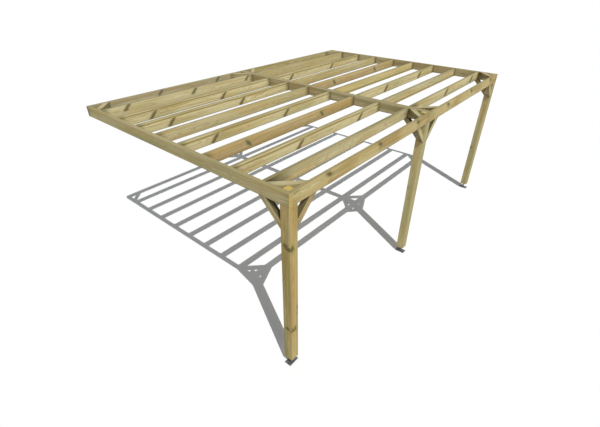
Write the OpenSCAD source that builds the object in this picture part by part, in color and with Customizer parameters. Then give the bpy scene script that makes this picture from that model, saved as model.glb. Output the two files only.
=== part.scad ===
// Wall-mounted pergola of two equal bays, in pressure-treated softwood.
// Three posts stand on T-shaped steel bases along the front, the wall plates
// are fixed to the wall, and beams and rafters are framed flush with the tops.
// Frame: +X to the right along the wall, +Y towards the wall, +Z up.
// Origin: middle of the wall plates' back face, at half their height.

/* [Overall] */
// Width of one bay, from edge to edge of its module
bay_w = 3000; // [2400:50:3300]
// Depth from the wall to the front faces
depth = 3920; // [3200:20:4200]
// Height of the frame's top above the ground
height = 2450; // [2200:10:2700]

/* [Posts] */
// Side of a square post
post_w = 120; // [100:5:150]
// Clear height between the ground and the foot of a post
post_lift = 100; // [60:5:140]

/* [Beams and wall plates] */
// Height of the front, side and centre beams
beam_h = 145; // [120:5:195]
// Thickness of the front, side and centre beams
beam_t = 45; // [35:1:60]
// Height of the wall plates
plate_h = 145; // [120:5:195]
// Thickness of the wall plates
plate_t = 45; // [35:1:60]

/* [Rafters] */
// Height of a rafter
rafter_h = 145; // [95:5:195]
// Thickness of a rafter
rafter_t = 45; // [35:1:60]
// Clear gap between the front beam and the first rafter, and the same at the wall
end_gap = 290; // [250:5:340]

/* [Braces] */
// Leg of a brace, from the corner it stiffens to its outer edge
brace_leg = 280; // [220:5:290]
// Side of the square brace timber
brace_w = 70; // [45:1:90]

/* [Steel bases] */
// Length of the ground plate
foot_l = 150; // [130:5:180]
// Width of the ground plate
foot_w = 90; // [80:5:110]
// Thickness of the ground plate
foot_t = 8; // [5:1:12]
// Width of the upright blade, which stands across the ground plate
blade_w = 70; // [50:5:75]
// Thickness of the upright blade
blade_t = 8; // [5:1:10]
// Depth that the blade reaches into the post
blade_in = 110; // [80:5:150]
// Slack between the blade and the sides of its slot
slot_slack = 0.3; // [0.1:0.1:0.6]
// Diameter of the anchor holes
hole_d = 11; // [9:1:14]
// Distance from a hole's centre to the plate's end
hole_end = 15; // [12:1:20]
// Distance from a hole's centre to the plate's long edge
hole_edge = 15; // [12:1:20]

/* [Hidden] */
rafters = 8;
z_top = plate_h / 2;
z_ground = z_top - height;
z_foot = z_ground + post_lift;
y_front = -depth;
y_wall = -plate_t;
x_end = bay_w;
// Span of the rafters and of the front beams in one bay, between side beams
clear_w = bay_w - 2 * beam_t;
rafter_pitch = (depth - beam_t - plate_t - 2 * end_gap - rafter_t) / (rafters - 1);

// A box given by its low corner and its size
module bar(at, size) {
    translate(at) cube(size);
}

// Post with its outer faces on x = 0 and on the front. The beams that pass its
// top are let in flush: the side beam over x = 0 to beam_t, the front beam over
// the front face. The blade of the steel base fits a slot in the foot.
module post(plate_along_x) {
    slot_w = blade_w + 2 * slot_slack;
    slot_t = blade_t + 2 * slot_slack;
    color([0.66, 0.60, 0.40])
    difference() {
        bar([0, y_front, z_foot], [post_w, post_w, z_top - z_foot]);
        bar([-1, y_front - 1, z_top - beam_h], [beam_t + 1, post_w + 2, beam_h + 1]);
        bar([-1, y_front - 1, z_top - beam_h], [post_w + 2, beam_t + 1, beam_h + 1]);
        translate([post_w / 2, y_front + post_w / 2, z_foot - 1])
            rotate(plate_along_x ? 0 : 90)
                bar([-slot_t / 2, -slot_w / 2, 0], [slot_t, slot_w, blade_in + 1]);
    }
}

// Steel base under a post: ground plate with four anchor holes, and across it
// an upright blade
module base(plate_along_x) {
    color([0.32, 0.33, 0.33])
    translate([post_w / 2, y_front + post_w / 2, z_ground])
        rotate(plate_along_x ? 0 : 90) {
            difference() {
                bar([-foot_l / 2, -foot_w / 2, 0], [foot_l, foot_w, foot_t]);
                for (x = [-1, 1], y = [-1, 1])
                    translate([x * (foot_l / 2 - hole_end), y * (foot_w / 2 - hole_edge), -1])
                        cylinder(h = foot_t + 2, d = hole_d, $fn = 48);
            }
            bar([-blade_t / 2, -blade_w / 2, 0], [blade_t, blade_w, post_lift + blade_in]);
        }
}

// Front beam of one bay, between the side beams
module front_beam() {
    color([0.72, 0.64, 0.43])
        bar([beam_t, y_front, z_top - beam_h], [clear_w, beam_t, beam_h]);
}

// Side beam from the front face to the wall plate
module side_beam() {
    color([0.61, 0.57, 0.38])
        bar([0, y_front, z_top - beam_h], [beam_t, y_wall - y_front, beam_h]);
}

// Wall plate of one bay
module wall_plate() {
    color([0.50, 0.48, 0.36])
        bar([0, y_wall, -plate_h / 2], [bay_w, plate_t, plate_h]);
}

// Rafter number k of one bay, counted from the front
module rafter(k) {
    color(k % 2 == 0 ? [0.69, 0.64, 0.46] : [0.66, 0.60, 0.42])
        bar([beam_t, y_front + beam_t + end_gap + (k - 1) * rafter_pitch, z_top - rafter_h],
            [clear_w, rafter_t, rafter_h]);
}

// Outline of a brace across the corner at the origin, between two legs along
// +X and +Y; its width is measured square to its length
module brace_outline() {
    inner = brace_leg - brace_w * sqrt(2);
    polygon([[brace_leg, 0], [0, brace_leg], [0, inner], [inner, 0]]);
}

// Knee brace under a beam along X, from a post face at x = 0; its outer face is
// flush with the front
module knee_front() {
    color([0.68, 0.63, 0.45])
    translate([0, y_front + brace_w, z_top - beam_h])
        rotate([90, 0, 0]) mirror([0, 1, 0])
            linear_extrude(brace_w) brace_outline();
}

// Knee brace under a side beam, from the back of a post; its outer face is at x = 0
module knee_side() {
    color([0.64, 0.60, 0.42])
    translate([0, y_front + post_w, z_top - beam_h])
        rotate([90, 0, 90]) mirror([0, 1, 0])
            linear_extrude(brace_w) brace_outline();
}

// Corner brace flush with the top, in the corner of a side beam and a front beam
module corner_front() {
    color([0.74, 0.68, 0.50])
    translate([beam_t, y_front + beam_t, z_top - brace_w])
        linear_extrude(brace_w) brace_outline();
}

// Corner brace flush with the top, in the corner of a side beam and a wall plate
module corner_wall() {
    color([0.74, 0.68, 0.50])
    translate([beam_t, y_wall, z_top - brace_w])
        mirror([0, 1, 0]) linear_extrude(brace_w) brace_outline();
}

// Places what is drawn from x = 0 at a left-hand edge x, or mirrored at a
// right-hand edge x
module at_left(x) { translate([x, 0, 0]) children(); }
module at_right(x) { translate([x, 0, 0]) mirror([1, 0, 0]) children(); }

at_left(-x_end) post(true);  // post_left
at_right(0) post(false);  // post_middle
at_right(x_end) post(false);  // post_right
at_left(-x_end) base(true);  // base_left
at_right(0) base(false);  // base_middle
at_right(x_end) base(false);  // base_right
at_left(-x_end) front_beam();  // front_beam_left
at_left(0) front_beam();  // front_beam_right
at_left(-x_end) side_beam();  // side_beam_left
at_right(0) side_beam();  // centre_beam_left
at_left(0) side_beam();  // centre_beam_right
at_right(x_end) side_beam();  // side_beam_right
at_left(-x_end) wall_plate();  // wall_plate_left
at_left(0) wall_plate();  // wall_plate_right
for (k = [1 : rafters]) {
    at_left(-x_end) rafter(k);
    at_left(0) rafter(k);
}
at_left(-x_end + post_w) knee_front();  // knee_left_front
at_left(-x_end) knee_side();  // knee_left_side
at_right(-post_w) knee_front();  // knee_middle_left
at_left(0) knee_front();  // knee_middle_right
at_right(0) knee_side();  // knee_middle_back
at_right(x_end - post_w) knee_front();  // knee_right_front
at_right(x_end) knee_side();  // knee_right_side
at_left(-x_end) corner_front();  // corner_front_left
at_right(0) corner_front();  // corner_front_middle_left
at_left(0) corner_front();  // corner_front_middle_right
at_right(x_end) corner_front();  // corner_front_right
at_left(-x_end) corner_wall();  // corner_wall_left
at_right(0) corner_wall();  // corner_wall_middle_left
at_left(0) corner_wall();  // corner_wall_middle_right
at_right(x_end) corner_wall();  // corner_wall_right
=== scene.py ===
# %% [markdown]
# # A wall-mounted pergola in treated pine
#
# The CAD model gives every timber its true place and size. This lesson dresses
# it: planed boards with eased edges, wood that is coloured from inside the log
# outwards, steel bases and the screws that hold the frame together. Every
# length is in metres, in the CAD model's own frame: +X runs along the wall,
# +Y into the wall and +Z up.

import math

import bmesh
import bpy
from mathutils import Matrix, Vector


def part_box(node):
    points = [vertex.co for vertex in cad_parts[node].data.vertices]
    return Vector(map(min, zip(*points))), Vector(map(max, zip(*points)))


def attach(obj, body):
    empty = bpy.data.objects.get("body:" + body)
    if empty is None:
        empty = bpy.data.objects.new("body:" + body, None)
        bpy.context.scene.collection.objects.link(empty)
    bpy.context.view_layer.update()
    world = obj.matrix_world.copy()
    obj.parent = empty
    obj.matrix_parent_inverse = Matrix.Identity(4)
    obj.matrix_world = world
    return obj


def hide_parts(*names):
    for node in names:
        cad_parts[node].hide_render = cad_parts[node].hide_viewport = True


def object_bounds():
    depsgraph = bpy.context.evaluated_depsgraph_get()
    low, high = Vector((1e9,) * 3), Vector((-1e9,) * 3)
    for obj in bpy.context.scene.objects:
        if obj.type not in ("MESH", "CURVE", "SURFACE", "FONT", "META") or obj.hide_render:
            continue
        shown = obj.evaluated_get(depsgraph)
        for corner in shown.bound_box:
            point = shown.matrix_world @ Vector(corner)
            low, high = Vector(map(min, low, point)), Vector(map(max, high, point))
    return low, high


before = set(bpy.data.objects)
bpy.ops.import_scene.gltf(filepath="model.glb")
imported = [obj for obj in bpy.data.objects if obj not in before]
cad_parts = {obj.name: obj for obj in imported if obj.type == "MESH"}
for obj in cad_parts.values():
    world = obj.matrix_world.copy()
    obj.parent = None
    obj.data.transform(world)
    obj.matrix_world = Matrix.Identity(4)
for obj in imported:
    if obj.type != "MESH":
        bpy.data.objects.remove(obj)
cad_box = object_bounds()
low, high = cad_box
X, Y, Z = Vector((1, 0, 0)), Vector((0, 1, 0)), Vector((0, 0, 1))
print("CAD box", [round(v, 4) for v in low], [round(v, 4) for v in high])

# %% [markdown]
# ## Camera
#
# The pergola is seen from above its near left corner with a wide lens, which
# makes that corner large and the far corner small. A camera looks along its own
# -Z axis, so it is built from the direction it looks in and a level horizon.

# %% Camera
LENS_MM = 22.362
SHIFT_X, SHIFT_Y = -0.00137, 0.00042
HEADING, TILT, ROLL = math.radians(49.954), math.radians(33.162), math.radians(0.149)
EYE = Vector((-5.0991, -5.8204, 1.7221))
FAR_AWAY = 400  # past the floor's far corner

look = Vector((math.sin(HEADING) * math.cos(TILT), math.cos(HEADING) * math.cos(TILT), -math.sin(TILT)))
camera = bpy.data.objects.new("camera", bpy.data.cameras.new("camera"))
camera.data.lens = LENS_MM
camera.data.shift_x, camera.data.shift_y = SHIFT_X, SHIFT_Y
camera.data.clip_end = FAR_AWAY
level = look.to_track_quat("-Z", "Y").to_matrix()
camera.rotation_euler = (level @ Matrix.Rotation(ROLL, 3, "Z")).to_euler()
camera.location = EYE
bpy.context.scene.collection.objects.link(camera)
bpy.context.scene.camera = camera
print("camera looks along", [round(v, 3) for v in look])

# %% [markdown]
# ## Colours and nodes
#
# Colours are written as a painter reads them off a screen, as sRGB hex values.
# Blender's shaders work in linear light, so one function converts them. One
# more function adds a node with its settings and its links, which keeps each
# material short enough to read. It takes a whole node for an input too, and
# then links the output that the node has in use.


# %% Helpers for colours and nodes
def linear(hex_value):
    """sRGB hex, such as "#C2B382", as linear RGBA."""
    channels = [int(hex_value[i:i + 2], 16) / 255 for i in (1, 3, 5)]
    return [c / 12.92 if c <= 0.04045 else ((c + 0.055) / 1.055) ** 2.4 for c in channels] + [1.0]


def add(tree, kind, inputs=None, **settings):
    """A new node. Each of its inputs gets a value, a node's output, or a node for its first output in use."""
    made = tree.nodes.new(kind if kind.startswith("NodeGroup") else "ShaderNode" + kind)
    for name, value in settings.items():
        setattr(made, name, value)
    for key, value in (inputs or {}).items():
        if isinstance(value, bpy.types.Node):
            value = next(output for output in value.outputs if output.enabled)
        if isinstance(value, bpy.types.NodeSocket):
            tree.links.new(value, made.inputs[key])
        else:
            made.inputs[key].default_value = value
    return made


def new_material(name):
    """An empty node material and its tree."""
    material = bpy.data.materials.new(name)
    material.use_nodes = True
    material.node_tree.nodes.clear()
    return material, material.node_tree


# What many nodes share: a range that starts and ends softly, one that falls from
# 1 to 0, and a blend of two colours
SOFT = {"interpolation_type": "SMOOTHSTEP"}
FALLING = {"To Min": 1.0, "To Max": 0.0}
BLEND = {"data_type": "RGBA"}
print("a mid brown in linear light:", [round(c, 3) for c in linear("#A98B50")])

# %% [markdown]
# ## Light
#
# A colour should render about as it is written, so the light on the top and on
# the front adds up to about one: a high sun from the front left, a broad low one
# from the front that lifts the faces seen from there, a weak one from behind,
# and an even, slightly cool sky. Suns were chosen over lamps because they light
# the near and the far corner alike. Only the high one is small enough for crisp
# shadows.


# %% Three suns
def sun(name, level, towards, height, spread):
    """A sun that shines in a level direction and down at an angle. Alone at level 1, it shows white as 1."""
    lamp = bpy.data.objects.new(name, bpy.data.lights.new(name, "SUN"))
    lamp.data.energy = level * math.pi
    lamp.data.angle = math.radians(spread)
    flat, down = math.cos(math.radians(height)), math.sin(math.radians(height))
    ray = Vector((towards[0] * flat, towards[1] * flat, -down))
    lamp.rotation_euler = ray.to_track_quat("-Z", "Y").to_euler()
    bpy.context.scene.collection.objects.link(lamp)
    print(name, "shines along", [round(v, 3) for v in ray])


sun("key", level=0.91, towards=(0.4615, 0.8872), height=54.5, spread=0.3)
sun("front", level=0.215, towards=(0.45, 0.89), height=13, spread=20)
sun("back", level=0.20, towards=(-0.60, -0.80), height=10, spread=40)


# %% [markdown]
# ## White surroundings
#
# What is seen behind the pergola is plain white, while the light that comes
# from there is much weaker, so that the wood keeps its colours. A Light Path
# node tells the two apart. The floor is a white sheet that keeps the shadow. It
# is greyer to the light that it throws back, so that the corners under the
# beams keep their depth.


# %% Sky and floor
def seen_background(tree):
    """1 on the rays that show the background: to the camera, in a gloss and through glass."""
    rays = add(tree, "LightPath").outputs
    seen = add(tree, "Math", {0: rays["Is Camera Ray"], 1: rays["Is Glossy Ray"]}, operation="MAXIMUM")
    return add(tree, "Math", {0: seen, 1: rays["Is Transmission Ray"]}, operation="MAXIMUM")


world = bpy.data.worlds.new("sky")
bpy.context.scene.world = world
world.use_nodes = True
tree = world.node_tree
tree.nodes.clear()
even = add(tree, "Background", {"Color": linear("#F4FAFF"), "Strength": 0.20})
white = add(tree, "Background", {"Color": linear("#FFFFFF"), "Strength": 1.0})
shown = add(tree, "MixShader", {0: seen_background(tree), 1: even, 2: white})
add(tree, "OutputWorld", {"Surface": shown})

FLOOR_HALF, FLOOR_GAP = 120, 0.001
bm = bmesh.new()
bmesh.ops.create_grid(bm, x_segments=1, y_segments=1, size=FLOOR_HALF)
bmesh.ops.translate(bm, verts=bm.verts, vec=(0, low.y / 2, low.z - FLOOR_GAP))
floor = bpy.data.objects.new("floor", bpy.data.meshes.new("floor"))
bm.to_mesh(floor.data)
bm.free()
bpy.context.scene.collection.objects.link(floor)
white_floor, tree = new_material("white_floor")
plain = add(tree, "BsdfDiffuse", {"Color": linear("#B2B2B2")})
bright = add(tree, "BsdfDiffuse", {"Color": linear("#FFFFFF")})
shown = add(tree, "MixShader", {0: seen_background(tree), 1: plain, 2: bright})
add(tree, "OutputMaterial", {"Surface": shown})
floor.data.materials.append(white_floor)
bpy.context.scene.view_settings.view_transform = "Standard"
print("floor at z =", round(low.z - FLOOR_GAP, 4))

# %% [markdown]
# ## Wood from inside the log
#
# A board is cut from a log, so its grain is a solid pattern: growth rings are
# tubes round the pith, and a saw cuts through them. The same tubes show as long
# lines on a face, as arches where the face nearly follows a ring, and as arcs
# on the sawn ends. So the wood is drawn in the board's own directions, with x
# along the grain, y across its wide face and z through its thickness, and every
# face takes its figure from that one solid pattern.
#
# ## Knots
#
# A knot is the foot of a branch, an oval rod through the wood. The node group
# below measures how far a point is from one branch, in branch radii. It is
# chained once for each knot, and its last three inputs bring what the knots
# before it found. It also says where the wood pales along the board up to a
# branch, and where it is browner past one, as sap-rich wood is.

# %% Knot: its sockets, and the distance from the branch
RAGGED, SWAY = 38.0, 0.022  # changes per metre of a branch's outline, and how far it strays
knot = bpy.data.node_groups.new("knot", "ShaderNodeTree")
for name, kind in (("Vector", "Vector"), ("Place", "Vector"), ("Lean", "Float"), ("Radii", "Vector"),
                   ("Flares", "Float"), ("Browns", "Float"),
                   ("Nearest", "Float"), ("Flare", "Float"), ("Browned", "Float")):
    knot.interface.new_socket(name, in_out="INPUT", socket_type="NodeSocket" + kind)
for name in ("Nearest", "Flare", "Browned"):
    knot.interface.new_socket(name, in_out="OUTPUT", socket_type="NodeSocketFloat")
given = add(knot, "NodeGroupInput").outputs
stray = add(knot, "TexNoise", {"Vector": given["Vector"], "Scale": RAGGED, "Detail": 2.0}).outputs["Color"]
stray = add(knot, "VectorMath", {0: stray, 1: (0.5, 0.5, 0.5)}, operation="SUBTRACT")
stray = add(knot, "VectorMath", {0: stray, "Scale": SWAY}, operation="SCALE")
off = add(knot, "VectorMath", {0: given["Vector"], 1: given["Place"]}, operation="SUBTRACT")
off = add(knot, "VectorMath", {0: off, 1: stray}, operation="ADD")
off = add(knot, "SeparateXYZ", {0: off}).outputs
leaning = add(knot, "Math", {0: off["Y"], 1: given["Lean"], 2: off["X"]}, operation="MULTIPLY_ADD")
radii = add(knot, "CombineXYZ", {0: leaning, 1: off["Y"], 2: off["Z"]})
radii = add(knot, "VectorMath", {0: radii, 1: given["Radii"]}, operation="DIVIDE")
radii = add(knot, "VectorMath", {0: radii}, operation="LENGTH")
nearest = add(knot, "Math", {0: radii, 1: given["Nearest"]}, operation="MINIMUM")
print("knot group:", len(knot.nodes), "nodes for the distance")

# %% Knot: the paler wood before it and the browner wood past it
rise = add(knot, "MapRange", {"Value": off["X"], "From Min": -1.0, "From Max": -0.3}, **SOFT)
stop = add(knot, "MapRange", {"Value": off["X"], "From Min": -0.05, "From Max": 0.01, **FALLING})
flare = add(knot, "Math", {0: rise, 1: stop}, operation="MULTIPLY")
flare = add(knot, "Math", {0: flare, 1: given["Flares"]}, operation="MULTIPLY")
flare = add(knot, "Math", {0: flare, 1: given["Flare"]}, operation="MAXIMUM")
past = add(knot, "MapRange", {"Value": off["X"], "From Min": 0.10, "From Max": 0.30})
fall = add(knot, "MapRange", {"Value": off["X"], "From Min": 0.35, "From Max": 0.60, **FALLING}, **SOFT)
brown = add(knot, "Math", {0: past, 1: fall}, operation="MULTIPLY")
brown = add(knot, "Math", {0: brown, 1: given["Browns"]}, operation="MULTIPLY")
brown = add(knot, "Math", {0: brown, 1: given["Browned"]}, operation="MAXIMUM")
add(knot, "NodeGroupOutput", {"Nearest": nearest, "Flare": flare, "Browned": brown})
print("knot group:", len(knot.nodes), "nodes")

# %% [markdown]
# ## Treated pine
#
# Pressure-treated pine is a pale wood with green salts in it. Its colour is
# built up as it came about: the rings first, then sapwood tones, heartwood,
# knots, drying cracks, and last what weather did to it, together with painted
# shade on the ends, the lower edges, the tops and some sides. One node group
# holds all of this, so that every board shares it and a change reaches them all.
#
# The group starts with its sockets and with eight noises. Wood varies slowly
# along the grain and fast across it, so each noise is stretched that way.

# %% Pine: its sockets
pine = bpy.data.node_groups.new("treated_pine", "ShaderNodeTree")
PINE_INPUTS = {
    "Vector": ("Vector", "Pith", "Size", "Shaded ends"),
    "Float": ("Seed", "Heart line", "Nearest knot", "Flare", "Browned", "Sawn end", "Upward", "Shaded side",
              "Lower edge shade", "Top weather and shade", "Paler up", "Patchy"),
    "Color": ("Pale", "Tan", "Green", "Knot", "End"),
}
for kind, names in PINE_INPUTS.items():
    for name in names:
        pine.interface.new_socket(name, in_out="INPUT", socket_type="NodeSocket" + kind)
for name, kind in (("Color", "Color"), ("Roughness", "Float"), ("Height", "Float")):
    pine.interface.new_socket(name, in_out="OUTPUT", socket_type="NodeSocket" + kind)
given = add(pine, "NodeGroupInput").outputs
along, across, _ = add(pine, "SeparateXYZ", {0: given["Vector"]}).outputs
length, width, _ = add(pine, "SeparateXYZ", {0: given["Size"]}).outputs
print("pine group:", len(pine.interface.items_tree), "sockets")

# %% Pine: eight noises
# Changes per metre along the grain and across it, detail, and how far the noise
# is moved, so that no two are alike. Across the grain, a patch is about 125 mm
# wide, a green cloud 77 mm and a streak 22 mm, and cracks are 33 mm apart. Fibres
# are 4 mm wide: bundles of real ones are finer, and are drawn so coarse to show.
NOISES = {
    "wander": (1.1, 6, 2.0, 0.0), "fibre": (7, 260, 3.0, 0.0), "patch": (0.9, 8, 3.0, 4.0),
    "green": (0.8, 13, 2.0, 9.0), "streak": (0.7, 46, 2.0, 15.0), "heart": (0.9, 5, 2.0, 21.0),
    "crack": (0.5, 30, 1.0, 33.0), "cracked": (1.6, 9, 1.0, 40.0),
}
SEED_STEP = (3.71, 1.37, 2.19)  # how far the noises of one seed lie from those of the next
place = add(pine, "VectorMath", {0: SEED_STEP, "Scale": given["Seed"]}, operation="SCALE")
place = add(pine, "VectorMath", {0: given["Vector"], 1: place}, operation="ADD")
noise = {}
for name, (lengthways, crossways, detail, moved) in NOISES.items():
    spot = add(pine, "Mapping", {"Vector": place, "Scale": (lengthways, crossways, crossways),
                                 "Location": (moved, moved, moved)})
    noise[name] = add(pine, "TexNoise", {"Vector": spot, "Scale": 1.0, "Detail": detail, "Roughness": 0.5})
print("noises:", ", ".join(noise))

# %% [markdown]
# ### Growth rings
#
# The distance from the pith, divided by the ring width, counts the rings, and
# its fraction is the place in a year. The real trunk tapers and wanders, and
# its rings swell round a branch, so the distance gets the same three errors.
# Each ring darkens slowly towards its late wood and ends in a short fall.
# Fast-grown pine has rings about 5 mm apart. They are drawn at 7 mm, so that
# they still show.

# %% Pine: rings round the pith
RING, TAPER, WANDER, SWELL = 0.007, 0.005, 0.014, 0.012
out = add(pine, "VectorMath", {0: given["Vector"], 1: given["Pith"]}, operation="SUBTRACT")
out = add(pine, "VectorMath", {0: out, 1: Y + Z}, operation="MULTIPLY")
radius = add(pine, "VectorMath", {0: out}, operation="LENGTH")
radius = add(pine, "Math", {0: along, 1: TAPER, 2: radius}, operation="MULTIPLY_ADD")
wander = add(pine, "MapRange", {"Value": noise["wander"], "From Min": 0.25, "From Max": 0.75,
                                "To Min": -WANDER, "To Max": WANDER}, **SOFT)
radius = add(pine, "Math", {0: radius, 1: wander}, operation="ADD")
swell = add(pine, "MapRange", {"Value": given["Nearest knot"], "From Min": 0.6, "From Max": 3.2,
                               "To Min": SWELL, "To Max": 0.0}, **SOFT)
radius = add(pine, "Math", {0: radius, 1: swell}, operation="ADD")
ring = add(pine, "Math", {0: radius, 1: RING}, operation="DIVIDE")
ring = add(pine, "Math", {0: ring}, operation="FRACT")
rise = add(pine, "MapRange", {"Value": ring, "From Min": 0.35, "From Max": 0.9}, **SOFT)
fall = add(pine, "MapRange", {"Value": ring, "From Min": 0.9, "From Max": 1.0, **FALLING}, **SOFT)
late = add(pine, "Math", {0: rise, 1: fall}, operation="MULTIPLY")
print("rings every", RING * 1000, "mm")

# %% [markdown]
# ### Sapwood, streaks and the heart line
#
# The sapwood drifts between a pale and a tan tone, with green clouds where the
# salts gathered. It is pale again up to a branch and browner past some. Long
# narrow streaks follow the grain, brown and bleached ones. Heartwood shows as a
# brown line along the board, broken where the cut runs out of it.

# %% Pine: sapwood
tan = add(pine, "MapRange", {"Value": noise["patch"], "From Min": 0.42, "From Max": 0.60}, **SOFT)
tan = add(pine, "Math", {0: tan, 1: given["Patchy"]}, operation="MULTIPLY")
colour = add(pine, "Mix", {"Factor": tan, "A": given["Pale"], "B": given["Tan"]}, **BLEND)
green = add(pine, "MapRange", {"Value": noise["green"], "From Min": 0.46, "From Max": 0.66, "To Max": 0.75},
            **SOFT)
colour = add(pine, "Mix", {"Factor": green, "A": colour, "B": given["Green"]}, **BLEND)
paled = add(pine, "Math", {0: given["Flare"], 1: 0.8}, operation="MULTIPLY")
colour = add(pine, "Mix", {"Factor": paled, "A": colour, "B": given["Pale"]}, **BLEND)
colour = add(pine, "Mix", {"Factor": given["Browned"], "A": colour, "B": given["Tan"]}, **BLEND)
for start, full, most, shade in ((0.56, 0.68, 0.55, "#A98B50"), (0.44, 0.32, 0.45, "#D2C8A4")):
    streak = add(pine, "MapRange", {"Value": noise["streak"], "From Min": start, "From Max": full,
                                    "To Max": most}, **SOFT)
    colour = add(pine, "Mix", {"Factor": streak, "A": colour, "B": linear(shade)}, **BLEND)
print("pine group:", len(pine.nodes), "nodes with the sapwood")

# %% Pine: the heart line and the late wood
sway = add(pine, "MapRange", {"Value": noise["heart"], "From Min": 0.3, "From Max": 0.7,
                              "To Min": -0.006, "To Max": 0.006}, **SOFT)
off_line = add(pine, "Math", {0: across, 1: given["Heart line"]}, operation="SUBTRACT")
off_line = add(pine, "Math", {0: off_line, 1: sway}, operation="ADD")
off_line = add(pine, "Math", {0: off_line}, operation="ABSOLUTE")
line = add(pine, "MapRange", {"Value": off_line, "From Min": 0.004, "From Max": 0.015,
                              "To Min": 0.9, "To Max": 0.0}, **SOFT)
whole = add(pine, "MapRange", {"Value": noise["patch"], "From Min": 0.28, "From Max": 0.44,
                               "To Min": 0.35, "To Max": 1.0}, **SOFT)
line = add(pine, "Math", {0: line, 1: whole}, operation="MULTIPLY")
colour = add(pine, "Mix", {"Factor": line, "A": colour, "B": linear("#93804A")}, **BLEND)
ringed = add(pine, "MapRange", {"Value": late, "To Max": 0.34}, **SOFT)
colour = add(pine, "Mix", {"Factor": ringed, "A": colour, "B": linear("#94793F")}, **BLEND)
print("pine group:", len(pine.nodes), "nodes with the heart line")

# %% [markdown]
# ### Twigs, fibres and knots
#
# Pin knots are the stubs of twigs, a few millimetres across. They come from a
# Voronoi texture, which scatters single points. Fine fibres lighten and darken
# the wood, and one edge of a board was nearer the bark and is paler. Round a
# knot the grain darkens, and the knot is brown with its own close rings.

# %% Pine: pin knots and fibres
TWIGS = (3.1, 15.0, 15.0)  # cells per metre along, across and through the board, one twig in each
twigs = add(pine, "Mapping", {"Vector": place, "Scale": TWIGS})
twigs = add(pine, "TexVoronoi", {"Vector": twigs, "Scale": 1.0})
twigs = add(pine, "MapRange", {"Value": twigs, "From Min": 0.035, "From Max": 0.075,
                               "To Min": 0.75, "To Max": 0.0}, **SOFT)
colour = add(pine, "Mix", {"Factor": twigs, "A": colour, "B": linear("#83663A")}, **BLEND)
share = add(pine, "Math", {0: across, 1: width}, operation="DIVIDE")
share = add(pine, "Math", {0: share, 1: 0.5}, operation="SUBTRACT")
paler = add(pine, "Math", {0: share, 1: given["Paler up"], 2: 1.0}, operation="MULTIPLY_ADD")
fibres = add(pine, "MapRange", {"Value": noise["fibre"], "From Min": 0.3, "From Max": 0.7,
                                "To Min": 0.92, "To Max": 1.07}, **SOFT)
shade = add(pine, "Math", {0: fibres, 1: paler}, operation="MULTIPLY")
shade = add(pine, "CombineXYZ", {0: shade, 1: shade, 2: shade})
colour = add(pine, "Mix", {"Factor": 1.0, "A": colour, "B": shade}, blend_type="MULTIPLY", **BLEND)
print("pine group:", len(pine.nodes), "nodes with the fibres")

# %% Pine: knots
# Radians of a sine for each branch radius. Rings 1 to 2 mm apart wouldn't show,
# so these are 6 to 11 mm apart.
KNOT_RINGS = 26.0
darker = add(pine, "MapRange", {"Value": given["Nearest knot"], "From Min": 0.9, "From Max": 2.6,
                                "To Min": 0.55, "To Max": 0.0}, **SOFT)
colour = add(pine, "Mix", {"Factor": darker, "A": colour, "B": given["Green"]}, **BLEND)
ringed = add(pine, "Math", {0: given["Nearest knot"], 1: KNOT_RINGS}, operation="MULTIPLY")
ringed = add(pine, "Math", {0: ringed}, operation="SINE")
ringed = add(pine, "MapRange", {"Value": ringed, "From Min": -1.0, "To Max": 0.4}, **SOFT)
ringed = add(pine, "Mix", {"Factor": ringed, "A": given["Knot"], "B": linear("#5E4F2C")}, **BLEND)
inside = add(pine, "MapRange", {"Value": given["Nearest knot"], "From Min": 0.55, "From Max": 1.35,
                                "To Min": 0.95, "To Max": 0.0}, **SOFT)
colour = add(pine, "Mix", {"Factor": inside, "A": colour, "B": ringed}, **BLEND)
print("pine group:", len(pine.nodes), "nodes with the knots")

# %% [markdown]
# ### Cracks, ends, weather and painted shade
#
# Drying leaves hairline cracks along the grain, drawn where a slow noise
# crosses its middle value. The ends are darkened near where a board meets
# another part, and the lower edge of a level board is darkened too: both are
# painted shade. Sawn ends show the rings strongly. What faces the sky is greyed
# and darkened, partly as weathering and partly as painted shade. A side that
# faces its corner, and the front of a far post, get painted shade and are dark.

# %% Pine: cracks, and painted shade at the ends
END_SHADE_REACH = 0.14  # how far the painted shade usually reaches in from an end
crack = add(pine, "Math", {0: noise["crack"], 1: 0.5}, operation="SUBTRACT")
crack = add(pine, "Math", {0: crack}, operation="ABSOLUTE")
crack = add(pine, "MapRange", {"Value": crack, "From Max": 0.008, **FALLING}, **SOFT)
cracked = add(pine, "MapRange", {"Value": noise["cracked"], "From Min": 0.6, "From Max": 0.66}, **SOFT)
crack = add(pine, "Math", {0: crack, 1: cracked}, operation="MULTIPLY")
dark = add(pine, "Math", {0: crack, 1: 0.6}, operation="MULTIPLY")
colour = add(pine, "Mix", {"Factor": dark, "A": colour, "B": linear("#5A4C2C")}, **BLEND)
# Painted shade near each end of a board, where it meets another part: darker towards the end.
first, last, first_reach = add(pine, "SeparateXYZ", {0: given["Shaded ends"]}).outputs
uneven = add(pine, "Math", {0: noise["fibre"], 1: 0.05, 2: -0.025}, operation="MULTIPLY_ADD")
to_last = add(pine, "Math", {0: length, 1: along}, operation="SUBTRACT")
for to_end, amount, reach in ((along, first, first_reach), (to_last, last, END_SHADE_REACH)):
    soaked = add(pine, "Math", {0: to_end, 1: uneven}, operation="ADD")
    soaked = add(pine, "MapRange", {"Value": soaked, "From Max": reach, **FALLING}, **SOFT)
    soaked = add(pine, "Math", {0: soaked, 1: amount}, operation="MULTIPLY")
    colour = add(pine, "Mix", {"Factor": soaked, "A": colour, "B": linear("#5C5435")}, **BLEND)
print("pine group:", len(pine.nodes), "nodes with the ends")
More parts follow.
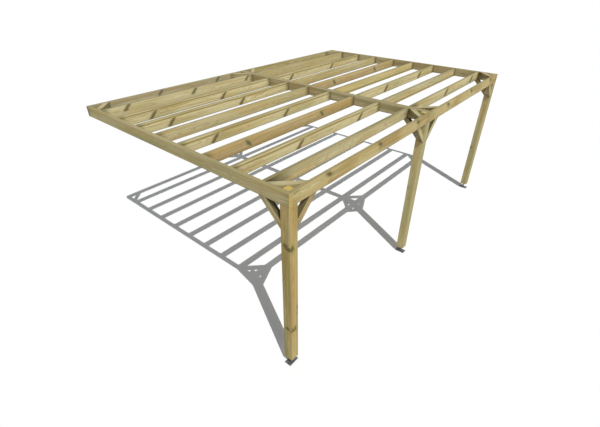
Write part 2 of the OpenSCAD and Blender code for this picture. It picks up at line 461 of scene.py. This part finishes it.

# %% Pine: painted shade on lower edges, tops and sides; sawn ends
# Painted shade along the lower edge of a level board: darker towards that edge.
lower_edge_shade = add(pine, "MapRange", {"Value": across, "From Min": 0.003, "From Max": 0.016, **FALLING}, **SOFT)
lower_edge_shade = add(pine, "Math", {0: lower_edge_shade, 1: given["Lower edge shade"]}, operation="MULTIPLY")
colour = add(pine, "Mix", {"Factor": lower_edge_shade, "A": colour, "B": linear("#5C5030")}, **BLEND)
sawn = add(pine, "MapRange", {"Value": late, "To Max": 0.45}, **SOFT)
sawn = add(pine, "Mix", {"Factor": sawn, "A": given["End"], "B": linear("#8E7038")}, **BLEND)
colour = add(pine, "Mix", {"Factor": given["Sawn end"], "A": colour, "B": sawn}, **BLEND)
# Tops are greyed and darkened, partly as weathering and partly as painted shade against the light on them;
# sawn ends are spared most of it.
spared = add(pine, "Math", {0: given["Sawn end"], 1: -0.8, 2: 1.0}, operation="MULTIPLY_ADD")
grey = add(pine, "MapRange", {"Value": noise["patch"], "From Min": 0.3, "From Max": 0.7, "To Min": 0.70},
           **SOFT)
grey = add(pine, "Math", {0: given["Upward"], 1: grey}, operation="MULTIPLY")
grey = add(pine, "Math", {0: grey, 1: spared}, operation="MULTIPLY")
grey = add(pine, "Math", {0: grey, 1: given["Top weather and shade"]}, operation="MULTIPLY")
colour = add(pine, "Mix", {"Factor": grey, "A": colour, "B": linear("#887F59")}, **BLEND)
# Painted shade on a side that faces its corner and on the fronts of the far posts.
damp = add(pine, "MapRange", {"Value": noise["patch"], "From Min": 0.3, "From Max": 0.7,
                              "To Min": 0.93, "To Max": 0.80}, **SOFT)
damp = add(pine, "Math", {0: given["Shaded side"], 1: damp}, operation="MULTIPLY")
colour = add(pine, "Mix", {"Factor": damp, "A": colour, "B": linear("#4B432A")}, **BLEND)
print("pine group:", len(pine.nodes), "nodes with the weather")

# %% Pine: sheen and relief
rough = add(pine, "Math", {0: noise["fibre"], 1: 0.18, 2: 0.66}, operation="MULTIPLY_ADD")
raised = add(pine, "Math", {0: late, 1: 0.6, 2: noise["fibre"]}, operation="MULTIPLY_ADD")
sunk = add(pine, "Math", {0: crack, 1: 1.5}, operation="MULTIPLY")
relief = add(pine, "Math", {0: raised, 1: sunk}, operation="SUBTRACT")
add(pine, "NodeGroupOutput", {"Color": colour, "Roughness": rough, "Height": relief})
print("pine group:", len(pine.nodes), "nodes")

# %% [markdown]
# ## One material for each board
#
# No two boards are alike, so each gets its own material: the same wood, with
# its own tone, its own stretch of log and its own knots. A Mapping node of the
# texture kind turns object coordinates into the board's directions. The Normal
# output, in the object's own directions too, tells the sawn ends, the top and
# the side that gets painted shade apart.

# %% Tones of the boards, and what else a board may have
TONES = {  # pale, tan, green, knot, sawn end
    "cream": ("#D7CB9C", "#C7B176", "#B3AC7C", "#786440", "#D2B763"),
    "front": ("#C6B57F", "#A88C55", "#8F895A", "#775C38", "#D2B763"),
    "wall": ("#B1A576", "#A9935E", "#989260", "#6F6840", "#C2AC64"),
    "brown": ("#B9A272", "#B4975D", "#9D966A", "#756A45", "#D2B763"),
    "plain": ("#C2B68A", "#BFA970", "#ABA576", "#7A6E48", "#D2B763"),
    "fair": ("#CFC498", "#CBB47C", "#B4AE80", "#7A6E48", "#D2B763"),
    "warm": ("#D2C48A", "#CEB572", "#BBB078", "#7A6E48", "#D2B763"),
    "olive": ("#BDB183", "#B9A56B", "#A39D6E", "#6F6840", "#C2AC64"),
    "shade": ("#C3B68C", "#A99264", "#979066", "#655C3E", "#ADA272"),
    "far post": ("#C8BC8C", "#C4AF72", "#ADA775", "#6F6840", "#C6B76E"),
    "post": ("#BEAC74", "#B6955A", "#999058", "#6C6238", "#D2B763"),
    "grey": ("#ABA17E", "#A29068", "#959072", "#6E6248", "#7D7354"),
}
CLEAR = THROUGH = 99.0  # radii from any knot, and the depth of a branch that goes right through
NO_LINE = -1.0
FIGURE = {  # what a board has, unless its call says otherwise
    "knots": (),                   # each (distance along, share across, share through, lean, three radii)
    "pith": (0.5, -1.2),           # where the pith runs, as shares of the board's width and thickness
    "seed": 0.0,                   # which stretch of the noises it takes
    "patchy": 0.8,                 # how strong its tan patches are
    "heart_line": NO_LINE,         # share of the width where a line of heartwood runs
    "damp": Vector(),              # direction of a side that gets painted shade
    "soaked": (0.15, 0.15, END_SHADE_REACH),  # how much painted shade the first and the last end get, and the first one's reach
    "bleached": 0.6,               # how grey and darkened its top is: part weathering, part painted shade
    "paler_up": 0.0,               # how much lighter it gets across its width
    "browns": 0.0,                 # how brown it is past a knot
}
LOWER_EDGE_SHADE = 0.45      # painted shade along the lower edge of a level board
OPPOSITE = 0.82  # how much of a side's painted shade the opposite side gets too
print("tones:", ", ".join(TONES))
print("a board's own values:", ", ".join(FIGURE))


# %% A board's material
def faces_of(tree, axes, damp):
    """How much a point lies on a sawn end, on the top, on a side with painted shade, and not on the
    underside.
    """
    normal = add(tree, "TexCoord").outputs["Normal"]
    up = add(tree, "SeparateXYZ", {0: normal}).outputs["Z"]
    end = add(tree, "VectorMath", {0: normal, 1: axes[0]}, operation="DOT_PRODUCT")
    end = add(tree, "Math", {0: end}, operation="ABSOLUTE")
    end = add(tree, "MapRange", {"Value": end, "From Min": 0.55, "From Max": 0.8})
    top = add(tree, "MapRange", {"Value": up, "From Min": 0.3, "From Max": 0.95})
    side_shaded = add(tree, "VectorMath", {0: normal, 1: damp}, operation="DOT_PRODUCT")
    other = add(tree, "Math", {0: side_shaded, 1: -OPPOSITE}, operation="MULTIPLY")
    side_shaded = add(tree, "Math", {0: side_shaded, 1: other}, operation="MAXIMUM")
    side_shaded = add(tree, "MapRange", {"Value": side_shaded, "From Min": 0.7, "From Max": 0.95})
    edge_shade_amount = LOWER_EDGE_SHADE if axes[1].z > 0.9 else 0.0
    lower_edge = add(tree, "MapRange", {"Value": up, "From Min": -1.0, "From Max": -0.6, "To Max": edge_shade_amount})
    return {"Sawn end": end, "Upward": top, "Shaded side": side_shaded, "Lower edge shade": lower_edge}


def pine_material(name, tone, origin, axes, size, figure):
    """Treated pine for one board, from its first corner, its directions, its three sizes and its figure."""
    material, tree = new_material(name)
    _, width, thickness = size
    place = add(tree, "Mapping", {"Vector": add(tree, "TexCoord").outputs["Object"], "Location": origin,
                                  "Rotation": Matrix(axes).transposed().to_euler()}, vector_type="TEXTURE")
    nearest, flare, browned = CLEAR, 0.0, 0.0
    for spot, share, through, lean, *radii in figure["knots"]:
        nearest, flare, browned = add(tree, "Group", {
            "Vector": place, "Place": (spot, share * width, through * thickness), "Radii": radii,
            "Lean": lean, "Flares": float(radii[2] == THROUGH), "Browns": figure["browns"],
            "Nearest": nearest, "Flare": flare, "Browned": browned}, node_tree=knot).outputs
    tones = dict(zip(("Pale", "Tan", "Green", "Knot", "End"), map(linear, TONES[tone])))
    pith = 0.0, figure["pith"][0] * width, figure["pith"][1] * thickness
    wood = add(tree, "Group", {
        "Vector": place, "Size": size, "Pith": pith, "Seed": figure["seed"],
        "Heart line": figure["heart_line"] * width, "Patchy": figure["patchy"],
        "Nearest knot": nearest, "Flare": flare, "Browned": browned, "Shaded ends": figure["soaked"],
        "Top weather and shade": figure["bleached"], "Paler up": figure["paler_up"],
        **tones, **faces_of(tree, axes, figure["damp"])}, node_tree=pine).outputs
    grain = add(tree, "Bump", {"Height": wood["Height"], "Strength": 0.5, "Distance": 0.0006})
    skin = add(tree, "BsdfPrincipled", {"Base Color": wood["Color"], "Roughness": wood["Roughness"],
                                        "Normal": grain, "IOR": 1.45, "Specular IOR Level": 0.25})
    add(tree, "OutputMaterial", {"Surface": skin})
    return material


print("nodes that all boards share:", len(pine.nodes) + len(knot.nodes))

# %% [markdown]
# ## Planed boards
#
# Planed timber comes with its four long edges eased to a small radius, while
# the sawn ends stay crisp. Each board starts from a merged copy of its CAD
# solid, so that its cuts and notches are the real ones, and the bevel operator
# rounds the long outer edges. A Bevel modifier would round every edge alike,
# unless each edge were given a weight first.

# %% Helpers for solids
SAME_SPOT = 1e-5  # how near two corners are that are one
TURN = 0.5        # radians between two faces from which their edge counts as one


def solid(node):
    """A copy of a CAD node's mesh, with its corners merged and its flat faces whole."""
    bm = bmesh.new()
    bm.from_mesh(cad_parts[node].data)
    bmesh.ops.remove_doubles(bm, verts=bm.verts, dist=SAME_SPOT)
    bmesh.ops.dissolve_limit(bm, angle_limit=math.radians(1), verts=bm.verts, edges=bm.edges)
    return bm


def sharp(bm):
    """The outer edges of a solid where two faces meet at an angle."""
    return [e for e in bm.edges if len(e.link_faces) == 2 and e.calc_face_angle_signed() > TURN]


def ease(bm, edges, width, segments):
    """Rounds edges, and returns the faces that this makes."""
    return bmesh.ops.bevel(bm, geom=edges, offset=width, offset_type="OFFSET", segments=segments,
                           profile=0.5, affect="EDGES", material=-1, clamp_overlap=True)["faces"]


def keep(name, bm, material, node=None):
    """Makes bm a finished piece, which stands for a CAD node where one is named."""
    piece = bpy.data.objects.new(name, bpy.data.meshes.new(name))
    bm.to_mesh(piece.data)
    bm.free()
    piece.data.materials.append(material)
    bpy.context.scene.collection.objects.link(piece)
    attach(piece, "root")
    if node:
        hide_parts(node)


bm = solid("post_left")
print("a post's solid:", len(bm.faces), "flat faces,", len(sharp(bm)), "sharp outer edges")
bm.free()

# %% Build one board
EASED, SAWN_EDGE = 0.004, 0.0012  # radius of a planed edge, and the crisp edge that a saw leaves


def board(node, slot, along, wide, tone, easing=EASED, **own):
    """A planed board for a CAD node. along is its grain, wide the direction across its wide face."""
    bm = solid(node)
    axes = (along, wide, along.cross(wide))
    reach = [(min(v.co.dot(a) for v in bm.verts), max(v.co.dot(a) for v in bm.verts)) for a in axes]
    origin = sum((a * r[0] for a, r in zip(axes, reach)), Vector())
    size = [r[1] - r[0] for r in reach]
    long_edges = [e for e in sharp(bm)
                  if abs((e.verts[1].co - e.verts[0].co).normalized().dot(along)) > 0.999]
    for face in ease(bm, long_edges, easing, segments=3):
        face.smooth = True
    sawn_edges = [e for e in sharp(bm) if max(abs(f.normal.dot(along)) for f in e.link_faces) > 0.6]
    ease(bm, sawn_edges, SAWN_EDGE, segments=1)
    wood = pine_material("pine_" + node, tone, origin, axes, size, {**FIGURE, **own})
    keep("planed_" + node, bm, wood, node)


print("edges eased by", EASED * 1000, "mm, sawn ends by", SAWN_EDGE * 1000, "mm")

# %% [markdown]
# ## Posts
#
# The posts are sawn round the heart of the log, so the pith lies inside them
# and branches leave it on all sides. The near post has whorls of them, which
# meet at its corner, and each far post has one knot at its back. The fronts of
# the far posts get painted shade, and they are darker there. A knot is built
# from a few branches that start at the face or the corner where it shows.

# %% Posts
# Place up the post, across and through, lean, and three radii
WHORLS = {
    "left": ((1.75, 0.0, 0.50, 0.0, 0.026, 0.036, 0.036), (1.72, 0.28, 0.0, 0.0, 0.040, 0.022, 0.040),
             (1.72, 0.05, 0.10, 0.25, 0.026, 0.056, 0.060), (0.86, 0.97, 0.0, 0.0, 0.045, 0.020, 0.013),
             (0.76, 0.99, 0.0, 0.0, 0.030, 0.020, 0.013),
             (0.545, 0.0, 0.50, 0.0, 0.026, 0.026, 0.030), (0.545, 0.20, 0.0, 0.0, 0.038, 0.012, 0.026),
             (0.545, 0.56, 0.0, 0.0, 0.038, 0.014, 0.026), (0.52, 0.36, 0.02, 0.1, 0.018, 0.050, 0.040)),
    "middle": ((1.15, 0.5, 1.0, 0.25, 0.038, 0.060, 0.075),),
    "right": ((0.85, 0.4, 1.0, 0.25, 0.038, 0.060, 0.075),),
}
FRONT_SHADE = {"left": Vector(), "middle": -0.76 * Y, "right": -0.785 * Y}  # painted shade on the fronts of the far posts; 1 would be a whole side of it
POST_EASED = 0.007
for n, (side, whorls) in enumerate(WHORLS.items()):
    board("post_" + side, "post_timber", Z, X, "post" if side == "left" else "far post", easing=POST_EASED,
          knots=whorls, pith=(0.47, 0.55), seed=2.0 + n, damp=FRONT_SHADE[side], soaked=(0.1, 0.1, END_SHADE_REACH))
    print("post", side, "has", len(whorls), "branches")

# %% [markdown]
# ## Beams and wall plates
#
# The beams are flat-sawn: the pith lies outside the board, and the rings rise
# through the face in long arches. The front beams have small round knots about
# a metre apart, each with a browner stretch past it. The wall plates lie in the
# shelter of the wall and are the greyest wood of the frame.

# %% Beams and wall plates
FIRST_KNOT, KNOT_STEP = 0.555, 0.99
small = [(FIRST_KNOT + KNOT_STEP * k, 0.79, 0.0, 0.9, 0.038, 0.028, THROUGH) for k in range(3)]
spikes = [(at, 0.72, 0.0, -0.9, 0.030, 0.045, THROUGH) for at in (1.18, 2.37)]
for n, side in enumerate(("left", "right")):
    board("front_beam_" + side, "beam_timber", X, Z, "front", knots=small, seed=11.0 + n, pith=(0.6, 1.9),
          patchy=0.95, browns=0.65)
    board("wall_plate_" + side, "plate_timber", X, Z, "grey" if side == "left" else "wall", seed=14.0 + n,
          bleached=0.8, knots=spikes if side == "left" else ())
for n, name in enumerate(("side_beam_left", "centre_beam_left", "centre_beam_right", "side_beam_right")):
    board(name, "beam_timber", Y, Z, "olive" if name == "side_beam_left" else "shade", seed=17.0 + n,
          pith=(0.5, -1.4))
print("knots in a front beam at", [round(k[0], 3) for k in small])

# %% [markdown]
# ## Rafters
#
# Some rafters were cut through a branch lengthways. The branch shows as a long
# slanting spike knot with a foot at the lower edge, and it comes back about
# every 1.3 m, where the tree grew its next whorl. The wood pales up to it, and
# a heart line runs along these boards. Others are browner with squat knots, and
# the rest are clear. A table keeps the sixteen boards comparable.

# %% Rafters: knots, ends and the table of boards
# Lean, then the radii. A foot is where a spike knot leaves the board at the lower edge.
SPIKE, FOOT = (-0.95, 0.035, 0.052, THROUGH), (-0.50, 0.040, 0.024, THROUGH)
BOLD = (-0.75, 0.046, 0.060, THROUGH)
SQUAT = (0.75, 0.032, 0.045, THROUGH)
FOOT_BACK, FOOT_DOWN = 0.035, 0.26  # metres along and a share of the width, from the knot
LAST_KNOT = 2.85  # metres along; a knot further on would lie past the board's end
END_SHADE = {"left": (0.68, 0.9, END_SHADE_REACH), "right": (0.25, 1.0, END_SHADE_REACH)}
# The first rafters get painted shade further in, where a corner brace stands by their end.
BESIDE_BRACE = {"left": (1.0, 0.5, 0.46), "right": (1.0, 0.85, 0.34)}
# Tone, heart line, how much paler upwards, how grey and darkened on top (weathering
# and painted shade); then for a knotty rafter: knot, first place, distance to the
# next one, share of the width
RAFTERS = {
    "left": (("fair", NO_LINE, -0.2, 1.0), ("cream", 0.81, 0.0, 0.85, SPIKE, 1.06, 1.31, 0.42),
             ("brown", NO_LINE, 0.30, 0.6, SQUAT, 0.64, 1.43, 0.55),
             ("cream", 0.82, 0.0, 0.9, SPIKE, 0.515, 1.31, 0.45),
             ("plain", NO_LINE, 0.2, 0.85), ("cream", 0.83, 0.0, 0.85, SPIKE, 0.51, 1.29, 0.45),
             ("cream", 0.83, 0.0, 0.85, SPIKE, 0.51, 1.29, 0.45),
             ("fair", NO_LINE, 0.15, 0.95, SPIKE, 0.38, 1.19, 0.80)),
    "right": (("cream", NO_LINE, 0.15, 0.85, BOLD, 1.32, 1.19, 0.55), ("fair", 0.19, -0.2, 1.0),
              ("cream", NO_LINE, 0.0, 0.95, BOLD, 0.92, 1.31, 0.45), ("warm", 0.19, 0.0, 1.0),
              ("brown", NO_LINE, 0.3, 0.85, SQUAT, 0.64, 1.43, 0.55), ("plain", NO_LINE, 0.25, 0.6),
              ("cream", 0.81, 0.0, 0.85, SPIKE, 0.505, 1.31, 0.45), ("plain", NO_LINE, 0.0, 0.9)),
}
print("knotty rafters:", sum(len(row) > 4 for rows in RAFTERS.values() for row in rows), "of 16")


# %% Rafters
def whorls_along(shape, first, step, share):
    """The knots of one rafter: every step from the first place on, those with a spike with their feet."""
    knots = []
    for at in (first, first + step, first + 2 * step):
        if at < LAST_KNOT:
            knots.append((at, share, 0.0, *shape))
            if shape is not SQUAT:
                knots.append((at - FOOT_BACK, share - FOOT_DOWN, 0.0, *FOOT))
    return knots


for bay, rows in RAFTERS.items():
    for n, (tone, heart_line, paler_up, bleached, *row) in enumerate(rows):
        board(f"rafter_{bay}_{n + 1}", "rafter_timber", X, Z, tone, heart_line=heart_line,
              knots=whorls_along(*row) if row else (), seed=30.0 + n + 10 * (bay == "right"),
              pith=(0.5, 2.2 if n % 2 else -1.1), soaked=END_SHADE[bay] if n else BESIDE_BRACE[bay],
              bleached=bleached, paler_up=paler_up)
    print("rafters in the", bay, "bay:", len(rows))

# %% [markdown]
# ## Braces
#
# Short lengths at 45 degrees stiffen every corner: knee braces under the beams,
# and flat corner braces flush with the top. The side that faces its corner, and
# less so the side opposite it, gets painted shade, so it is darker than the light
# alone would make it.

# %% Braces
# Grain, the direction towards the corner, and the tone
BRACES = {
    "knee_left_front": (X + Z, Z - X, "shade"), "knee_middle_left": (Z - X, X + Z, "plain"),
    "knee_middle_right": (X + Z, Z - X, "shade"), "knee_right_front": (Z - X, X + Z, "plain"),
    "knee_left_side": (Y + Z, Z - Y, "plain"), "knee_middle_back": (Y + Z, Z - Y, "plain"),
    "knee_right_side": (Y + Z, Z - Y, "plain"),
    "corner_front_left": (X - Y, -X - Y, "fair"), "corner_front_middle_left": (X + Y, X - Y, "fair"),
    "corner_front_middle_right": (X - Y, -X - Y, "fair"), "corner_front_right": (X + Y, X - Y, "fair"),
    "corner_wall_left": (X + Y, Y - X, "fair"), "corner_wall_middle_left": (X - Y, X + Y, "fair"),
    "corner_wall_middle_right": (X + Y, Y - X, "fair"), "corner_wall_right": (X - Y, X + Y, "fair"),
}
# These corners get less painted shade.
SIDE_SHADE = {"corner_front_left": 0.78, "knee_right_front": 0.92}
for n, (name, (grain, inward, tone)) in enumerate(BRACES.items()):
    along, inward = grain.normalized(), inward.normalized()
    board(name, "brace_timber", along, inward.cross(along), tone, easing=0.003, seed=60.0 + n,
          damp=inward * SIDE_SHADE.get(name, 1.0), soaked=(0.4, 0.4, END_SHADE_REACH), bleached=0.3)

# %% [markdown]
# ## Screw heads
#
# The frame is held by countersunk timber screws with a six-lobed recess. Their
# coating is tan, so they hardly show on the wood, and it is thin where the
# driver rubbed it. A head is a short cone whose top is inset and pushed in.
# About a hundred screw objects would be slow to handle, so the heads that belong
# together are one mesh.

# %% The screws' coating
RUBBED = 400.0  # spots per metre
tan_coat, tree = new_material("tan_coated_screw")
place = add(tree, "TexCoord").outputs["Object"]
rubbed = add(tree, "TexNoise", {"Vector": place, "Scale": RUBBED, "Detail": 2.0})
mixed = add(tree, "Mix", {"Factor": rubbed, "A": linear("#8F7C4C"), "B": linear("#6E6246")}, **BLEND)
skin = add(tree, "BsdfPrincipled", {"Base Color": mixed, "Metallic": 0.7, "Roughness": 0.45})
add(tree, "OutputMaterial", {"Surface": skin})
print("rubbed spots on a screw:", 1000 / RUBBED, "mm")

# %% One head, many times
HEAD_R, PROUD, SUNK = 0.0055, 0.0004, 0.0030  # a head's radius, and how far it is above and in the wood
FOOT_SHARE = 0.45             # radius of the cone's lower end, as a share of the head's
RIM, CROWN = 0.0007, 0.00015  # width of the head's rim, and how far the middle rises over it
RECESS_R, RECESS_DEPTH = 0.0026, 0.0018
LOBE = 0.72                   # radius between two lobes, as a share of the recess


def screws(name, spots):
    """Screw heads as one mesh. A spot is (point on the wood's surface, outward direction)."""
    bm = bmesh.new()
    for point, outward in spots:
        turn = outward.to_track_quat("Z", "Y").to_matrix().to_4x4()
        middle = Matrix.Translation(point + outward * (PROUD - SUNK) / 2)
        made = bmesh.ops.create_cone(bm, cap_ends=True, segments=24, radius1=HEAD_R * FOOT_SHARE,
                                     radius2=HEAD_R, depth=PROUD + SUNK, matrix=middle @ turn)
        top = max({f for v in made["verts"] for f in v.link_faces}, key=lambda f: f.normal.dot(outward))
        bmesh.ops.inset_region(bm, faces=[top], thickness=RIM, depth=CROWN)
        bmesh.ops.inset_region(bm, faces=[top], thickness=HEAD_R - RIM - RECESS_R)
        for k, vert in enumerate(top.verts):
            # Two cross products leave the part of the offset that lies in the head's plane, turned round.
            flat = (vert.co - point).cross(outward).cross(outward)
            vert.co = point + outward * (PROUD + CROWN) - flat * (1.0 if (k // 2) % 2 else LOBE)
        pushed = bmesh.ops.extrude_discrete_faces(bm, faces=[top])["faces"][0]
        bmesh.ops.translate(bm, verts=pushed.verts[:], vec=outward * -RECESS_DEPTH)
    keep(name, bm, tan_coat)
    print(name, "-", len(spots), "heads")


# %% [markdown]
# ## Where the screws go
#
# A carpenter puts two screws, one high and one low, through a side beam into the
# end of each timber that meets it and through a front beam into each post. Two
# more go through each brace, one near either end, and pairs of them through the
# wall plates. All the places come from the CAD solids, so that a head always sits
# on its surface.

# %% Screws through the side beams and into the posts
HIGH, LOW = 0.80, 0.22  # shares of a beam's height


def pair_on(box, x, y, outward):
    """One high and one low screw at a place on the face of a beam or plate with this box."""
    return [(Vector((x, y, box[0].z + share * (box[1].z - box[0].z))), outward) for share in (HIGH, LOW)]


for side, outward in (("left", -X), ("right", X)):
    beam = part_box("side_beam_" + side)
    spots = []
    for meeting in ["front_beam_" + side] + [f"rafter_{side}_{k}" for k in range(1, 9)]:
        start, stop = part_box(meeting)
        spots += pair_on(beam, beam[0].x if side == "left" else beam[1].x, (start.y + stop.y) / 2, outward)
    screws("screws_side_" + side, spots)

for side in ("left", "middle", "right"):
    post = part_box("post_" + side)
    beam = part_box("front_beam_right" if side == "right" else "front_beam_left")
    shared = max(post[0].x, beam[0].x), min(post[1].x, beam[1].x)
    screws("screws_post_" + side, pair_on(beam, sum(shared) / 2, beam[0].y, -Y))

# %% Screws through the braces and the wall plates
FROM_END = 0.045   # from a brace's tip to its screw
SAME_PLANE = 1e-4  # how near corners lie that share a face
PER_PLATE = 6      # pairs of screws through a wall plate
spots = []
for name, (grain, inward, _) in BRACES.items():
    along, inward = grain.normalized(), inward.normalized()
    corners = [v.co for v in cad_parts[name].data.vertices]
    outer = min(c.dot(inward) for c in corners)
    edge = [c for c in corners if c.dot(inward) < outer + SAME_PLANE]
    middle = sum(edge, Vector()) / len(edge)
    half = max((c - middle).dot(along) for c in edge)
    spots += [(middle + along * way * (half - FROM_END), -inward) for way in (-1, 1)]
screws("screws_braces", spots)

spots = []
for side in ("left", "right"):
    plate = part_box("wall_plate_" + side)
    for k in range(PER_PLATE):
        x = plate[0].x + (plate[1].x - plate[0].x) * (k + 0.5) / PER_PLATE
        spots += pair_on(plate, x, plate[0].y, -Y)
screws("screws_wall_plates", spots)

# %% [markdown]
# ## Steel bases
#
# A base is a ground plate with an upright blade that is welded on and slides
# into a slot in the post. The steel is blasted and painted dark grey, so it is
# dull with a fine orange peel, and it is a little worn. Paint isn't a metal to
# the light, so metallic stays at 0.

# %% Painted steel
PEEL, WORN = 900.0, 30.0  # per metre: an orange peel of 1 mm and worn patches of 33 mm
grey_paint, tree = new_material("dark_grey_coated_steel")
place = add(tree, "TexCoord").outputs["Object"]
worn = add(tree, "TexNoise", {"Vector": place, "Scale": WORN, "Detail": 3.0})
mixed = add(tree, "Mix", {"Factor": worn, "A": linear("#434547"), "B": linear("#5F6163")}, **BLEND)
peel = add(tree, "TexNoise", {"Vector": place, "Scale": PEEL, "Detail": 1.0})
peel = add(tree, "Bump", {"Height": peel, "Strength": 0.25, "Distance": 0.0003})
skin = add(tree, "BsdfPrincipled", {"Base Color": mixed, "Roughness": 0.42, "Normal": peel})
add(tree, "OutputMaterial", {"Surface": skin})
print("orange peel:", round(1000 / PEEL, 1), "mm")

# %% [markdown]
# ## Plates, blades and welds
#
# The plate's edges are dressed, which catches a thin line of light. A weld bead
# runs along each foot of the blade: a row of overlapping drops, as the torch
# lays them. The edges that the beads follow are found on the solid itself, as
# the long level ones where two faces meet in a hollow.

# %% Bases and their welds
DRESSED, BEAD_R, BEAD_STEP = 0.0008, 0.004, 0.0035  # a dressed edge, and a bead's radius and step
SHORTEST_RUN = 0.03


def weld(name, start, stop):
    """A weld bead from start to stop: drops that overlap."""
    bm = bmesh.new()
    count = int((stop - start).length / BEAD_STEP)
    for k in range(count + 1):
        bmesh.ops.create_icosphere(bm, subdivisions=2, radius=BEAD_R,
                                   matrix=Matrix.Translation(start.lerp(stop, k / count)))
    for face in bm.faces:
        face.smooth = True
    keep(name, bm, grey_paint)


for side in ("left", "middle", "right"):
    bm = solid("base_" + side)
    ease(bm, sharp(bm), DRESSED, segments=2)
    hollow = [e for e in bm.edges if len(e.link_faces) == 2 and e.calc_face_angle_signed() < -TURN]
    runs = [(e.verts[0].co.copy(), e.verts[1].co.copy()) for e in hollow
            if e.calc_length() > SHORTEST_RUN and abs(e.verts[0].co.z - e.verts[1].co.z) < SAME_SPOT]
    keep("steel_base_" + side, bm, grey_paint, "base_" + side)
    for k, (start, stop) in enumerate(runs):
        weld(f"weld_{side}_{k + 1}", start, stop)
    print("base", side, "weld runs:", len(runs))
